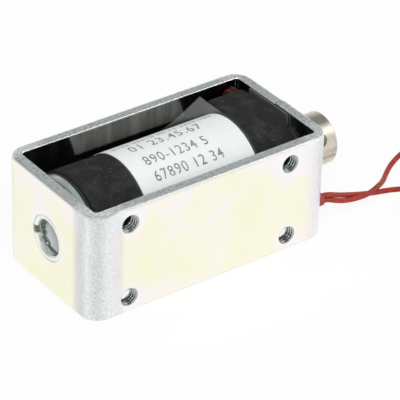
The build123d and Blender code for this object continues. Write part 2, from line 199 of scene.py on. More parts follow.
class StageSettings(PropertyGroup):
    """Camera place, angles and lens."""

    azimuth: FloatProperty(
        name="Azimuth", description="Camera direction round the part",
        default=math.radians(-37.592), subtype="ANGLE",
    )
    elevation: FloatProperty(
        name="Elevation", description="Camera height angle", default=math.radians(32.939), subtype="ANGLE",
    )
    roll: FloatProperty(
        name="Roll", description="Camera roll", default=math.radians(2.0846), subtype="ANGLE",
    )
    lens: FloatProperty(
        name="Lens", description="Focal length in millimetres on a 36 mm sensor", default=223.8,
    )
    position: FloatVectorProperty(
        name="Camera position", description="Camera place in the part's frame",
        default=(-0.316736, -0.416067, 0.349629), unit="LENGTH", size=3,
    )


class Wire:
    """A shader socket that can be used in Python expressions. Each operator adds its Math node."""

    def __init__(self, finish, socket):
        self.finish = finish
        self.socket = socket

    def math(self, operation, *others):
        values = dict(enumerate((self, *others)))
        return self.finish.node("ShaderNodeMath", {"operation": operation}, values)

    def __add__(self, other):
        return self.math("ADD", other)

    def __radd__(self, other):
        return self.math("ADD", other)

    def __sub__(self, other):
        return self.math("SUBTRACT", other)

    def __rsub__(self, other):
        return self.finish.node("ShaderNodeMath", {"operation": "SUBTRACT"}, {0: other, 1: self})

    def __mul__(self, other):
        return self.math("MULTIPLY", other)

    def __rmul__(self, other):
        return self.math("MULTIPLY", other)

    def __truediv__(self, other):
        return self.math("DIVIDE", other)

    def __rtruediv__(self, other):
        return self.finish.node("ShaderNodeMath", {"operation": "DIVIDE"}, {0: other, 1: self})

    def __neg__(self):
        return self.math("MULTIPLY", -1.0)

    def __abs__(self):
        return self.math("ABSOLUTE")

    def smallest(self, other):
        return self.math("MINIMUM", other)

    def largest(self, other):
        return self.math("MAXIMUM", other)

    def rise(self, low, high):
        """0 below low, 1 above high and smooth between."""
        values = {"Value": self, "From Min": low, "From Max": high}
        return self.finish.node("ShaderNodeMapRange", {"interpolation_type": "SMOOTHSTEP"}, values)


class Finish:
    """One procedural material, built round its main shader."""

    def __init__(self, name, colour=(0.5, 0.5, 0.5), **constants):
        self.material = bpy.data.materials.new(name)
        self.material.use_nodes = True
        self.tree = self.material.node_tree
        self.shader = self.tree.nodes["Principled BSDF"]
        self.shader.inputs["Base Color"].default_value = (*colour, 1)
        for key, value in constants.items():
            self.shader.inputs[key.replace("_", " ")].default_value = value
        self.material.diffuse_color = (*colour, 1)

    def node(self, kind, settings=None, values=None, output=0):
        """Any node: its settings are set first, then the values or links of its sockets."""
        made = self.tree.nodes.new(kind)
        for key, value in (settings or {}).items():
            if key == "stops":
                self.set_stops(made.color_ramp, value)
            else:
                setattr(made, key, value)
        for key, value in (values or {}).items():
            if isinstance(value, Wire):
                self.tree.links.new(value.socket, made.inputs[key])
            else:
                made.inputs[key].default_value = value
        return Wire(self, made.outputs[output])

    @staticmethod
    def set_stops(ramp, stops):
        while len(ramp.elements) < len(stops):
            ramp.elements.new(0.5)
        for element, (place, colour) in zip(ramp.elements, stops):
            element.position = place
            element.color = (*colour, 1)

    def place(self):
        """The point's place in the part's frame, and its three coordinates in millimetres."""
        point = self.node("ShaderNodeNewGeometry", output="Position")
        point = self.node("ShaderNodeVectorMath", {"operation": "SCALE"}, {0: point, "Scale": 1 / MM})
        parts = [self.node("ShaderNodeSeparateXYZ", None, {0: point}, output=n) for n in range(3)]
        return point, parts

    def noise(self, point, scale, detail=2.0, roughness=0.5, distortion=0.0):
        values = {"Vector": point, "Scale": scale, "Detail": detail}
        values.update({"Roughness": roughness, "Distortion": distortion})
        return self.node("ShaderNodeTexNoise", None, values, output="Fac")

    def stretched(self, point, factors):
        return self.node("ShaderNodeVectorMath", {"operation": "MULTIPLY"}, {0: point, 1: factors})

    def ramp(self, value, stops):
        return self.node("ShaderNodeValToRGB", {"stops": stops}, {"Fac": value}, output="Color")

    def mixed(self, factor, first, second):
        values = {0: factor, 6: first, 7: second}
        for key in (6, 7):
            if isinstance(values[key], tuple) and len(values[key]) == 3:
                values[key] = (*values[key], 1)
        return self.node("ShaderNodeMix", {"data_type": "RGBA"}, values, output=2)

    def feed(self, name, wire):
        self.tree.links.new(wire.socket, self.shader.inputs[name])

    def bump(self, height, strength, distance):
        """Fine relief, with its depth in metres."""
        values = {"Height": height, "Strength": strength, "Distance": distance}
        self.feed("Normal", self.node("ShaderNodeBump", None, values, output="Normal"))


def new_piece(name, mesh, finish, body="solenoid", replaces=()):
    """Links a mesh or curve as a piece of the part that rides on a body."""
    piece = bpy.data.objects.new(name, mesh)
    bpy.context.scene.collection.objects.link(piece)
    mesh.materials.append(finish.material)
    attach(piece, body)
    if replaces:
        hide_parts(*replaces)
    return piece


def shell_mesh(name, rows, closed_round=False):
    """A mesh of quads from rows of points. Closed round, each row's last point meets its first."""
    mesh = bpy.data.meshes.new(name)
    width = len(rows[0])
    points = [point for row in rows for point in row]
    faces = []
    for r in range(len(rows) - 1):
        for c in range(width if closed_round else width - 1):
            after = (c + 1) % width
            faces.append((r * width + c, r * width + after, (r + 1) * width + after, (r + 1) * width + c))
    mesh.from_pydata(points, [], faces)
    mesh.validate()
    return mesh


def finish_mesh(mesh, smooth_angle=math.radians(35)):
    """Welds doubles, turns the faces outward and shades smooth between sharp edges."""
    work = bmesh.new()
    work.from_mesh(mesh)
    bmesh.ops.remove_doubles(work, verts=work.verts, dist=1e-7)
    bmesh.ops.recalc_face_normals(work, faces=work.faces)
    for face in work.faces:
        face.smooth = True
    for edge in work.edges:
        if len(edge.link_faces) == 2 and edge.calc_face_angle(0) > smooth_angle:
            edge.smooth = False
    work.to_mesh(mesh)
    work.free()
    return mesh


def closed_sheet(name, under, over):
    """A thin closed sheet between two grids of points of the same size."""
    mesh = bpy.data.meshes.new(name)
    rows, width = len(over), len(over[0])
    points = [p for grid in (under, over) for row in grid for p in row]
    shift = rows * width
    faces = []
    for r in range(rows - 1):
        for c in range(width - 1):
            corner = (r * width + c, r * width + c + 1, (r + 1) * width + c + 1, (r + 1) * width + c)
            faces.append(tuple(k + shift for k in corner))
            faces.append(tuple(reversed(corner)))
    border = [(0, c) for c in range(width)] + [(r, width - 1) for r in range(1, rows)]
    border += [(rows - 1, c) for c in range(width - 2, -1, -1)] + [(r, 0) for r in range(rows - 2, 0, -1)]
    marks = [r * width + c for r, c in border]
    for first, second in zip(marks, marks[1:] + marks[:1]):
        faces.append((first, second, second + shift, first + shift))
    mesh.from_pydata(points, [], faces)
    return finish_mesh(mesh)


def smooth(share):
    """0 below 0, 1 above 1 and smooth between."""
    share = min(1.0, max(0.0, share))
    return share * share * (3 - 2 * share)


def on_coil(x, angle, radius):
    """A point at a radius from the coil axis. The angle is taken from +Y towards +Z."""
    return Vector((x, radius * math.cos(angle), AXIS_HEIGHT + radius * math.sin(angle)))


def coil_skin_radius(angle, settings, above=0.0):
    """The wrap's radius, which stands a little prouder on the upper side."""
    upper = max(0.0, math.sin(angle))
    return COIL_SIDE + settings.crown * upper ** 0.7 + above


def give(finish, slot_name, *nodes):
    """Puts a finish on solids that stay as they are."""
    for node in nodes:
        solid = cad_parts[node]
        solid.data.materials.clear()
        solid.data.materials.append(finish.material)


def insulation_finish(name, colour, roughness=0.42):
    finish = Finish(name, colour, Roughness=roughness, Specular_IOR_Level=0.28)
    point, _ = finish.place()
    patches = finish.noise(point, 0.9, 3.0)
    dusty = tuple(min(1, c * 1.5 + 0.01) for c in colour)
    finish.feed("Base Color", finish.mixed(patches.rise(0.35, 0.85), tuple(colour), dusty))
    finish.feed("Roughness", roughness - 0.06 + 0.16 * finish.noise(point, 2.2))
    finish.bump(finish.noise(point, 6.0, 2.0), 0.25, 0.00002)
    return finish


class SOLENOID_OT_camera(Operator):
    """Places the camera at the photograph's viewing angle"""

    bl_idname = "solenoid.camera"
    bl_label = "Camera"

    def execute(self, context):
        stage = context.scene.solenoid_stage
        a, e = stage.azimuth, stage.elevation
        back = Vector((math.sin(a) * math.cos(e), -math.cos(a) * math.cos(e), math.sin(e)))
        right = Vector((math.cos(a), math.sin(a), 0))
        up = back.cross(right)
        turned_right = math.cos(stage.roll) * right + math.sin(stage.roll) * up
        turned_up = math.cos(stage.roll) * up - math.sin(stage.roll) * right
        data = bpy.data.cameras.new("camera")
        data.lens = stage.lens
        data.sensor_width = 36
        data.clip_start = 0.05
        data.clip_end = 20
        camera = bpy.data.objects.new("camera", data)
        rotation = Matrix((turned_right, turned_up, back)).transposed().to_4x4()
        camera.matrix_world = Matrix.Translation(stage.position) @ rotation
        context.scene.collection.objects.link(camera)
        context.scene.camera = camera
        return {"FINISHED"}


# The leads' ways over the floor, as in the solids, in millimetres
LEAD_ROUTES = {
    "a": [
        (33.2, -12.0, 6.325),
        (35.0, -12.0, 6.325),
        (39.0, -12.1, 4.67),
        (43.6, -11.7, 2.94),
        (48.3, -11.7, 1.5),
        (52.2, -11.9, 0.7),
        (56.0, -13.0, 0.7),
        (60.2, -15.0, 0.7),
        (64.8, -17.4, 0.7),
    ],
    "b": [
        (33.2, -12.0, 4.875),
        (35.0, -12.0, 4.875),
        (38.9, -12.8, 3.25),
        (43.1, -13.1, 2.41),
        (48.0, -13.4, 2.35),
        (52.6, -11.9, 2.4),
        (56.6, -9.3, 1.15),
        (60.2, -6.3, 0.7),
        (64.3, -3.5, 0.7),
        (68.9, -1.3, 0.7),
        (73.9, 0.3, 0.7),
        (78.9, -0.5, 0.7),
    ],
}
STORE_RADII = {"a": 6.1, "b": 6.8}
STORE_FLOOR = 0.3
LANE_CHANGE = 1.6
CLIMB_START = 0.42
CLIMB_SHARE = 0.16
TAIL_STEPS = [(0.3, 0.12), (0.7, 1), (1, 1)]
TAIL_LENGTH = 7.0


def stored_turns(route, radius, stored, points_per_turn):
    """Points of the put-away turns: an outer and an inner lane below, then the same above; with them the
    coil's centre and the angle where the tail leaves.
    """
    width = 2 * LEAD_RADIUS / MM
    arrival, before = Vector(route[-1]), Vector(route[-2])
    heading = math.atan2(arrival.y - before.y, arrival.x - before.x)
    centre = arrival + Vector((math.sin(heading), -math.cos(heading), 0)) * (radius + width / 2)
    turns = stored / (2 * math.pi * radius)
    start = heading + math.pi / 2
    steps = round(turns * points_per_turn)
    points = []
    for step in range(1, steps + 1):
        done = turns * step / steps
        lane = math.cos(2 * math.pi * done / max(1, round(turns)))
        across = radius + width / 2 * max(-1.0, min(1.0, LANE_CHANGE * lane))
        lifted = smooth((step / steps - CLIMB_START) / CLIMB_SHARE)
        height = STORE_FLOOR + width / 2 + width * lifted
        angle = start - 2 * math.pi * done
        points.append((centre.x + across * math.cos(angle), centre.y + across * math.sin(angle), height))
    return points, centre, start - 2 * math.pi * turns


class SOLENOID_OT_leads(Operator):
    """Lays the two leads, each put away in a tied coil at its far end"""

    bl_idname = "solenoid.leads"
    bl_label = "Leads"

    def execute(self, context):
        settings = context.scene.solenoid_lead
        finish = insulation_finish("lead_insulation", tuple(settings.colour))
        for side, route in LEAD_ROUTES.items():
            points = self.route_points(side, route, settings)
            curve = bpy.data.curves.new(f"lead_{side}_wire", "CURVE")
            curve.dimensions = "3D"
            curve.bevel_depth = LEAD_RADIUS
            curve.bevel_resolution = 5
            curve.resolution_u = 8
            curve.use_fill_caps = True
            spline = curve.splines.new("NURBS")
            spline.points.add(len(points) - 1)
            for control, point in zip(spline.points, points):
                control.co = (*(Vector(point) * MM), 1)
            spline.order_u = 3
            spline.use_endpoint_u = True
            wire = new_piece(
                f"lead_{side}_wire", curve, finish,
                replaces=(f"lead_{side}", f"lead_{side}_coil", f"lead_{side}_tail"),
            )
            [c * MM for c in points[0]]
        return {"FINISHED"}

    def route_points(self, side, route, settings):
        laid = sum((Vector(b) - Vector(a)).length for a, b in zip(route, route[1:]))
        stored = settings.length / MM - laid - TAIL_LENGTH
        turns, centre, leave = stored_turns(route, STORE_RADII[side], stored, settings.turn_points)
        out = Vector((math.cos(leave), math.sin(leave), 0))
        ahead = Vector((out.y, -out.x, 0))
        height = STORE_FLOOR + 3 * LEAD_RADIUS / MM
        start = Vector((centre.x, centre.y, height)) + out * (STORE_RADII[side] + LEAD_RADIUS / MM)
        drop = height - LEAD_RADIUS / MM
        tail = [start + ahead * TAIL_LENGTH * s - Vector((0, 0, drop * d)) for s, d in TAIL_STEPS]
        return [*route, *turns[:-1], tuple(start), *[tuple(p) for p in tail]]


def cloth_finish(colour):
    """Woven cotton tape: fine over and under threads, lint and a little dust."""
    finish = Finish("black_cloth", colour, Roughness=0.85, Specular_IOR_Level=0.10)
    point, (x, y, z) = finish.place()
    angle = finish.node("ShaderNodeMath", {"operation": "ARCTAN2"}, {0: y, 1: z - AXIS_HEIGHT / MM})
    thread_pitch = 0.62
    wander = 0.7 * finish.noise(point, 0.25, 2.0)
    across = ((x + wander) * (2 * math.pi / thread_pitch)).math("SINE")
    around = ((angle * (COIL_SIDE / MM) + wander) * (2 * math.pi / thread_pitch)).math("SINE")
    weave = across * around
    lint = finish.noise(point, 3.0, 3.0, 0.7)
    wear = finish.noise(point, 0.30, 3.0)
    shade = 0.30 + 0.55 * weave + 1.2 * lint.rise(0.60, 0.74) + 0.50 * wear.rise(0.42, 0.72)
    pale = tuple(c * 4.0 + 0.008 for c in colour)
    dusted = finish.mixed(shade.largest(0.0).smallest(1.0), tuple(colour), pale)
    specks = finish.noise(point, 1.9, 1.0, 0.4).rise(0.735, 0.78)
    finish.feed("Base Color", finish.mixed(specks, dusted, (0.16, 0.16, 0.155)))
    finish.feed("Roughness", 0.74 + 0.2 * lint)
    finish.bump(0.8 * weave + 0.5 * lint, 0.8, 0.00009)
    return finish


class SOLENOID_OT_wrap(Operator):
    """Winds the cloth tape over the coil, with its padded lump over the splices"""

    bl_idname = "solenoid.wrap"
    bl_label = "Cloth wrap"

    def execute(self, context):
        settings = context.scene.solenoid_coil
        colours = context.scene.solenoid_finish
        along, around = 150, 240
        turn_angles = [2 * math.pi * n / around for n in range(around)]
        outer_rows = []
        for n in range(along + 1):
            x = COIL_START + (COIL_END - COIL_START) * n / along
            shift = {0: WRAP_EDGE / 2, along: -WRAP_EDGE / 2}.get(n, 0)
            outer_rows.append([on_coil(x + shift, t, self.radius(x, t, settings)) for t in turn_angles])
        edges = {}
        for x in (COIL_START, COIL_END):
            inner = [on_coil(x, t, COIL_SIDE - WRAP_DEPTH) for t in turn_angles]
            rounded = [on_coil(x, t, coil_skin_radius(t, settings) - WRAP_EDGE) for t in turn_angles]
            edges[x] = [inner, rounded]
        rows = [*edges[COIL_START], *outer_rows, *reversed(edges[COIL_END]), edges[COIL_START][0]]
        mesh = finish_mesh(shell_mesh("cloth_wrap", rows, closed_round=True), math.radians(50))
        finish = cloth_finish(tuple(colours.cloth))
        new_piece("cloth_wrap", mesh, finish, replaces=("cloth_tape",))
        return {"FINISHED"}

    def radius(self, x, angle, settings):
        """The wrap's outer radius with its lapped edge, slight waves and the thick pad over the splices."""
        radius = coil_skin_radius(angle, settings)
        lap_edge = LAP_PLACE + LAP_WANDER * math.sin(angle + 0.6)
        lap = 1 / (1 + math.exp((x - lap_edge) / LAP_SLOPE))
        waves = WAVE_HEIGHT * math.sin(x / MM * 0.9 + 2.2 * angle) * math.sin(3 * angle + 0.4)
        plain = radius - LAP_STEP * (1 - lap) + waves
        upright, level = math.sin(angle), math.cos(angle)
        if level <= 0 or upright <= 0:
            return plain
        degrees = math.degrees(angle)
        top = (PAD_TOP - AXIS_HEIGHT) / upright
        side = PAD_SIDE / level
        over = (top ** -PAD_ROUNDING + side ** -PAD_ROUNDING) ** (-1 / PAD_ROUNDING)
        reach = smooth((degrees - 12.0) / 16.0) * smooth((84.0 - degrees) / 12.0)
        ramp = smooth((x - PAD_START + PAD_WANDER * math.sin(7 * angle)) / PAD_SLOPE)
        return plain + max(0.0, over - plain + waves) * reach * ramp


def paper_finish(colour):
    finish = Finish("label_paper", colour, Roughness=0.5, Specular_IOR_Level=0.45)
    point, _ = finish.place()
    fibres = finish.noise(point, 5.0, 3.0, 0.6)
    clouds = finish.noise(point, 0.12, 2.0)
    dull = tuple(c * 0.93 for c in colour)
    finish.feed("Base Color", finish.mixed(0.5 * fibres + 0.5 * clouds, dull, tuple(colour)))
    finish.bump(fibres, 0.15, 0.00001)
    return finish


def ink_finish():
    """Printed dots of grey ink, thin in places."""
    finish = Finish("label_ink", (0.09, 0.09, 0.10), Roughness=0.6)
    point, _ = finish.place()
    speckle = finish.noise(point, 2.6, 3.0, 0.7)
    finish.feed("Base Color", finish.mixed(speckle.rise(0.40, 0.60), (0.06, 0.06, 0.07), (0.42, 0.43, 0.45)))
    return finish


class SOLENOID_OT_label(Operator):
    """Lays the paper label round the coil and prints its rows of plain numbers"""

    bl_idname = "solenoid.label"
    bl_label = "Label"

    def execute(self, context):
        settings = context.scene.solenoid_coil
        colours = context.scene.solenoid_finish
        near, far = settings.tape_near, settings.tape_far
        along, around = 60, 110
        places = [LABEL_START + (LABEL_END - LABEL_START) * n / along for n in range(along + 1)]
        angles = [near + (far - near) * n / around for n in range(around + 1)]
        under, over = (
            [[self.point(x, angle, layer, settings) for angle in angles] for x in places]
            for layer in (0.0, settings.label_thickness)
        )
        mesh = closed_sheet("paper_label", under, over)
        finish = paper_finish(tuple(colours.paper))
        new_piece("paper_label", mesh, finish, replaces=("label",))
        self.print_rows(settings)
        return {"FINISHED"}

    @staticmethod
    def point(x, angle, above, settings):
        return on_coil(x, angle, coil_skin_radius(angle, settings, LABEL_LIFT + above))

    def print_rows(self, settings):
        ink = ink_finish()
        for n, (text, place) in enumerate(zip(settings.rows.split("|"), LABEL_ROWS), start=1):
            row = self.printed_row(f"label_row_{n}", text, place, CAP_HEIGHT, settings)
            new_piece(f"label_row_{n}", row, ink)
        small = self.printed_row("label_row_small", settings.small_row, SMALL_ROW, SMALL_CAP_HEIGHT, settings)
        new_piece("label_row_small", small, ink)

    def printed_row(self, name, text, place, cap_height, settings):
        """A row of characters as a flat mesh, cut into strips and bent round the coil."""
        start, width, baseline = place
        curve = bpy.data.curves.new(name, "FONT")
        curve.body = text
        curve.space_character = 1.16
        curve.offset = 0.007
        holder = bpy.data.objects.new(name, curve)
        bpy.context.scene.collection.objects.link(holder)
        bpy.context.view_layer.update()
        mesh = bpy.data.meshes.new_from_object(holder.evaluated_get(bpy.context.evaluated_depsgraph_get()))
        bpy.data.objects.remove(holder)
        bpy.data.curves.remove(curve)
        mesh.name = name
        mesh.materials.clear()
        low = Vector(min(v.co[k] for v in mesh.vertices) for k in range(2))
        high = Vector(max(v.co[k] for v in mesh.vertices) for k in range(2))
        work = bmesh.new()
        work.from_mesh(mesh)
        for vertex in work.verts:
            vertex.co.x = (vertex.co.x - low[0]) / (high[0] - low[0]) * width
            vertex.co.y = (vertex.co.y - low[1]) / (high[1] - low[1]) * cap_height
        strips = 8
        for n in range(1, strips):
            everything = work.verts[:] + work.edges[:] + work.faces[:]
            cut = Vector((0, cap_height * n / strips, 0))
            bmesh.ops.bisect_plane(work, geom=everything, plane_co=cut, plane_no=(0, 1, 0))
        above = LABEL_LIFT + settings.label_thickness + INK_LIFT
        for vertex in work.verts:
            angle = baseline - vertex.co.y / COIL_SIDE
            vertex.co = on_coil(start + vertex.co.x, angle, coil_skin_radius(angle, settings, above))
        work.to_mesh(mesh)
        work.free()
        return mesh


def film_finish():
    """Clear glossy film, slightly grey where it stands off the label."""
    finish = Finish("clear_film", (0.62, 0.65, 0.64), Roughness=0.12, Specular_IOR_Level=0.5)
    point, (_, y, z) = finish.place()
    level = z - AXIS_HEIGHT / MM
    away = (y * y + level * level).math("SQRT")
    raised = (away - COIL_SIDE / MM).rise(0.7, 1.6)
    scratches = finish.noise(finish.stretched(point, (1.0, 0.3, 0.3)), 1.4, 4.0, 0.7)
    finish.feed("Alpha", 0.04 + 0.07 * raised + 0.08 * scratches.rise(0.62, 0.8))
    finish.feed("Roughness", 0.10 + 0.15 * scratches)
    finish.material.surface_render_method = "BLENDED"
    return finish


class SOLENOID_OT_film(Operator):
    """Lays the clear film over the label, with its lifted corner"""

    bl_idname = "solenoid.film"
    bl_label = "Clear film"

    def execute(self, context):
        settings = context.scene.solenoid_coil
        along, around = 80, 120
        places = [FILM_START + (FILM_END - FILM_START) * n / along for n in range(along + 1)]
        shares = [n / around for n in range(around + 1)]
        under, over = (
            [[self.point(x, share, layer, settings) for share in shares] for x in places]
            for layer in (0.0, settings.film_thickness)
        )
        mesh = closed_sheet("film_cover", under, over)
        new_piece("film_cover", mesh, film_finish(), replaces=("clear_film",))
        return {"FINISHED"}

    def point(self, x, share, layer, settings):
        """A point of the film: round the coil up to the fold, then straight on."""
        near = settings.tape_near
        far = settings.film_far
        angle = near + (far - near) * share
        above = FILM_LIFT + settings.label_thickness + layer
        if x <= settings.flap_start:
            return on_coil(x, angle, coil_skin_radius(angle, settings, above))
        grown = (x - settings.flap_start) / (FILM_END - settings.flap_start)
        fold = far + (settings.flap_fold - far) * grown ** 0.85
        if angle >= fold:
            return on_coil(x, angle, coil_skin_radius(angle, settings, above))
        radius = coil_skin_radius(fold, settings, above)
        root = on_coil(x, fold, radius)
        ahead = Vector((0, math.sin(fold), -math.cos(fold)))
        outward = Vector((0, math.cos(fold), math.sin(fold)))
        reach = radius * (fold - angle)
        return root + ahead * reach + outward * (reach * reach * FLAP_CURL)


def zinc_finish(settings):
    """Zinc plate with a pale passivate film: soft clouds of cream, pink, lavender and pale blue."""
    finish = Finish("zinc_passivate", (0.9, 0.9, 0.88), Metallic=1.0, Roughness=settings.zinc_roughness)
    point, (x, y, z) = finish.place()
    rim = RIM_HEIGHT / MM
    wall = STRIP_THICKNESS / MM
    outside_long = (abs(y) - (WALL_SIDE / MM - wall)).rise(0.1, 0.4)
    outside_rear = (REAR_FACE / MM + wall - x).rise(0.1, 0.4)
    outside_front = (x - (FRONT_FACE / MM - wall)).rise(-0.3, 0.0)
    outside = outside_long.largest(outside_rear).largest(outside_front)
    bend = bend_nearness(x, y) * outside
    holes = hole_nearness(x, y, z)
    wide = finish.noise(point, 0.06, 2.0, 0.5, 0.6)
    patchy = finish.noise(point, 0.16, 3.0, 0.6, 0.8)
    film = 0.72 + 1.15 * (wide - 0.5) + 0.60 * (patchy - 0.5)
    film = film - (0.66 + 0.5 * (patchy - 0.5)) * bend - 0.30 * holes
    film = film - 0.16 * (z - rim + 9.0).rise(0.0, 9.0)
    tint = finish.ramp(
        film,
        [
            (0.0, (0.94, 0.995, 0.985)),
            (0.20, (0.955, 0.955, 0.985)),
            (0.40, (0.985, 0.935, 0.94)),
            (0.58, (0.98, 0.945, 0.86)),
            (0.80, (0.965, 0.95, 0.77)),
            (1.0, (0.945, 0.955, 0.71)),
        ],
    )
    sheared = (z - (rim - 0.75)).rise(0.0, 0.70).largest((0.75 - z).rise(0.0, 0.70))
    streaks = finish.noise(finish.stretched(point, (0.6, 0.6, 5.0)), 1.7, 5.0, 0.85)
    rim_tint = finish.ramp(
        streaks,
        [
            (0.34, (0.36, 0.41, 0.39)),
            (0.50, (0.72, 0.77, 0.74)),
            (0.66, (0.92, 0.96, 0.93)),
        ],
    )
    # Painted shade: the inner faces are dark grey because little light reaches inside the frame; the vertical
    # mottle is partly real stains and partly painted dark reflection.
    stains_and_shade = finish.noise(finish.stretched(point, (1.0, 1.0, 0.12)), 0.35, 3.0, 0.6, 0.5)
    inner_face_shade = finish.ramp(stains_and_shade, [(0.34, (0.21, 0.205, 0.19)), (0.66, (0.34, 0.34, 0.32))])
    colour = finish.mixed(outside, inner_face_shade, tint)
    colour = finish.mixed(sheared, colour, rim_tint)
    rolled = bend * (1.0 - 0.85 * x.rise(-10.0, 10.0))
    pits = rolled * finish.noise(point, 3.6, 2.0, 0.9).rise(0.51, 0.60) * (1.0 - sheared)
    colour = finish.mixed(0.62 * pits, colour, (0.46, 0.52, 0.50))
    # Painted highlight: a thin near-white line just under the rim on the inner faces, standing for the inner
    # edge's bright edge line.
    below_rim = rim - z
    inner_edge_highlight = (1.0 - below_rim.rise(0.24, 0.30)) * below_rim.rise(0.01, 0.06)
    finish.feed("Base Color", finish.mixed(inner_edge_highlight * (1.0 - outside), colour, (0.97, 1.0, 0.99)))
    grain = finish.noise(point, 2.3, 4.0, 0.8)
    worn = finish.noise(point, 1.1, 5.0, 0.7)
    rough = settings.inner_roughness + (settings.zinc_roughness - settings.inner_roughness) * outside
    rough = rough - 0.08 * rolled * grain.rise(0.5, 0.7)
    finish.feed("Roughness", rough + 0.06 * (worn - 0.5))
    relief = 5.0 * rolled * grain.rise(0.40, 0.62) + 0.12 * worn + 0.9 * sheared * streaks
    finish.bump(relief, 0.6, 0.00012)
    return finish


def bend_nearness(x, y):
    """1 on the four upright bends. It fades slowly along the walls, and faster from the far side."""
    middle = (FRONT_FACE + REAR_FACE) / 2 / MM
    half_length = (FRONT_FACE - REAR_FACE) / 2 / MM
    from_end = half_length - abs(x - middle)
    near = 1.0 - (WALL_SIDE / MM + y).rise(2.2, 9.0)
    far = 1.0 - (WALL_SIDE / MM - y).rise(1.0, 4.5)
    return (1.0 - from_end.rise(2.8, 10.5)) * near.largest(far)


def hole_nearness(x, y, z):
    """1 at the rims of the holes and 0 a few millimetres away."""
    level = AXIS_HEIGHT / MM
    wall = STRIP_THICKNESS / MM + 0.2
    hole_x = abs(x - FIXING_MIDDLE / MM) - FIXING_SPACING_X / 2 / MM
    hole_z = abs(z - level) - FIXING_SPACING_Z / 2 / MM
    long_wall = (-y - (WALL_SIDE / MM - wall)).rise(0.0, 0.2)
    gap = (hole_x * hole_x + hole_z * hole_z).math("SQRT")
    near_fixing = (1.0 - gap.rise(2.2, 6.5)) * long_wall
    end_gap = (y * y + (z - level) * (z - level)).math("SQRT")
    near_core = (1.0 - end_gap.rise(6.0, 9.0)) * (REAR_FACE / MM + wall - x).rise(0.0, 0.2)
    return near_fixing.largest(0.5 * near_core)


def turned_finish(name, colour, roughness, grooves=9.0):
    """Plated and turned steel, with fine tool marks round the axis."""
    finish = Finish(name, colour, Metallic=1.0, Roughness=roughness)
    point, (x, y, z) = finish.place()
    level = z - AXIS_HEIGHT / MM
    from_axis = (y * y + level * level).math("SQRT")
    marks = finish.node("ShaderNodeCombineXYZ", None, {"X": x * grooves, "Y": from_axis * grooves, "Z": 0.0})
    lines = finish.noise(marks, 1.0, 2.0)
    cloud = finish.noise(point, 0.5, 3.0)
    dull = tuple(c * 0.86 for c in colour)
    finish.feed("Base Color", finish.mixed(cloud.rise(0.3, 0.75), tuple(colour), dull))
    finish.feed("Roughness", roughness - 0.04 + 0.12 * lines + 0.08 * cloud)
    finish.bump(lines, 0.12, 0.00001)
    return finish


def core_finish():
    """The riveted spigot: a bright ring, a dull band of painted shade round the counterbore's edge, and
    painted bands of reflection and shade down the counterbore, moved about by its turning streaks.
    """
    finish = Finish("plated_core", (0.86, 0.91, 0.89), Metallic=1.0, Roughness=0.34)
    _, (x, y, z) = finish.place()
    level = z - AXIS_HEIGHT / MM
    from_axis = (y * y + level * level).math("SQRT")
    depth = x - REAR_FACE / MM
    inside = depth.rise(0.15, 0.6)
    # Painted shade: a dull dark band beyond 4.95 mm from the axis, inside the counterbore's depth.
    edge_painted_shade = inside * from_axis.rise(4.82, 4.95)
    marks = finish.node("ShaderNodeCombineXYZ", None, {"X": x * 1.1, "Y": y * 0.4, "Z": level * 0.4})
    streaks = finish.noise(marks, 1.0, 4.0, 0.7, 0.8)
    # Painted light: bright, dark and again bright bands down the counterbore stand in for its reflections and
    # shade; little metallic sheen is left inside.
    bore_painted_light = finish.ramp(
        depth / 6.0 + 1.1 * (streaks - 0.5),
        [
            (0.0, (0.85, 0.91, 0.87)),
            (0.16, (0.60, 0.66, 0.61)),
            (0.30, (0.10, 0.12, 0.10)),
            (0.42, (0.20, 0.24, 0.23)),
            (0.54, (0.97, 1.0, 1.0)),
        ],
    )
    colour = finish.mixed(inside, (0.88, 0.93, 0.90), bore_painted_light)
    finish.feed("Base Color", finish.mixed(edge_painted_shade, colour, (0.24, 0.28, 0.22)))
    finish.feed("Metallic", 1.0 - 0.75 * inside)
    finish.feed("Roughness", 0.30 + 0.16 * streaks)
    finish.bump(streaks, 0.5, 0.00010)
    return finish


def plain_finish(name, colour, roughness, metallic=0.0, scale=2.0, relief=0.00001):
    """A moulded, pressed or drawn surface with a little variation."""
    finish = Finish(name, colour, Metallic=metallic, Roughness=roughness)
    point, _ = finish.place()
    mottle = finish.noise(point, scale, 4.0, 0.6)
    light = tuple(min(1.0, c * 1.18 + 0.004) for c in colour)
    finish.feed("Base Color", finish.mixed(mottle, tuple(c * 0.88 for c in colour), light))
    finish.feed("Roughness", roughness - 0.05 + 0.12 * mottle)
    finish.bump(mottle, 0.2, relief)
    return finish


